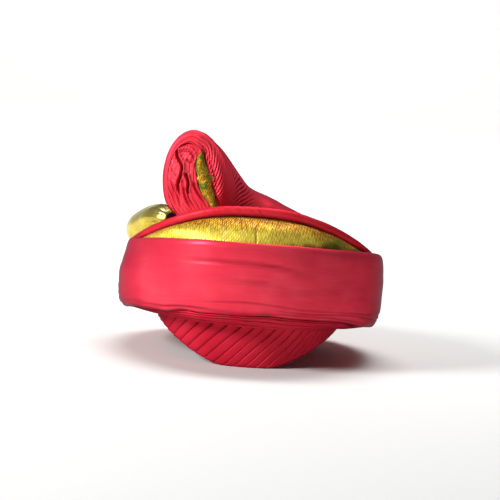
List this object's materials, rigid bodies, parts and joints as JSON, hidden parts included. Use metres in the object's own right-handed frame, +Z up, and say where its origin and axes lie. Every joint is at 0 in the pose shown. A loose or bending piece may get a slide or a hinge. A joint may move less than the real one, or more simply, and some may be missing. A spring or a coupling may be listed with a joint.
{
  "type": "pagri turban",
  "caption": "Ready-tied pagri: pleated skull cap in a padded satin ring with a brocade front, a rolled edge, a flat crown, a side roll of gold cloth and a curved crest.",
  "frame": {"origin": "middle of the footprint, on the surface that the cap's rim stands on", "axes": "+Z up; the forehead faces -Y, the nape +Y; +X is the wearer's left"},
  "size_m": [0.2516, 0.2686, 0.2072],
  "materials": {
    "red_satin": "smooth red polyester satin with a soft sheen",
    "pleated_satin": "red satin laid in narrow pleats",
    "gold_brocade": "grainy twill woven with gold thread",
    "gold_lame": "smooth bright gold lame"
  },
  "bodies": {
    "root": {"cap": "pleated_satin", "brow_band": "red_satin", "lower_wraps": "pleated_satin", "gold_panel": "gold_brocade", "rolled_edge": "red_satin", "gold_roll": "gold_lame", "crown": "red_satin", "crest_wrap": "pleated_satin", "crest_folds": "pleated_satin", "crest_gold": "gold_brocade"}
  },
  "joints": []
}
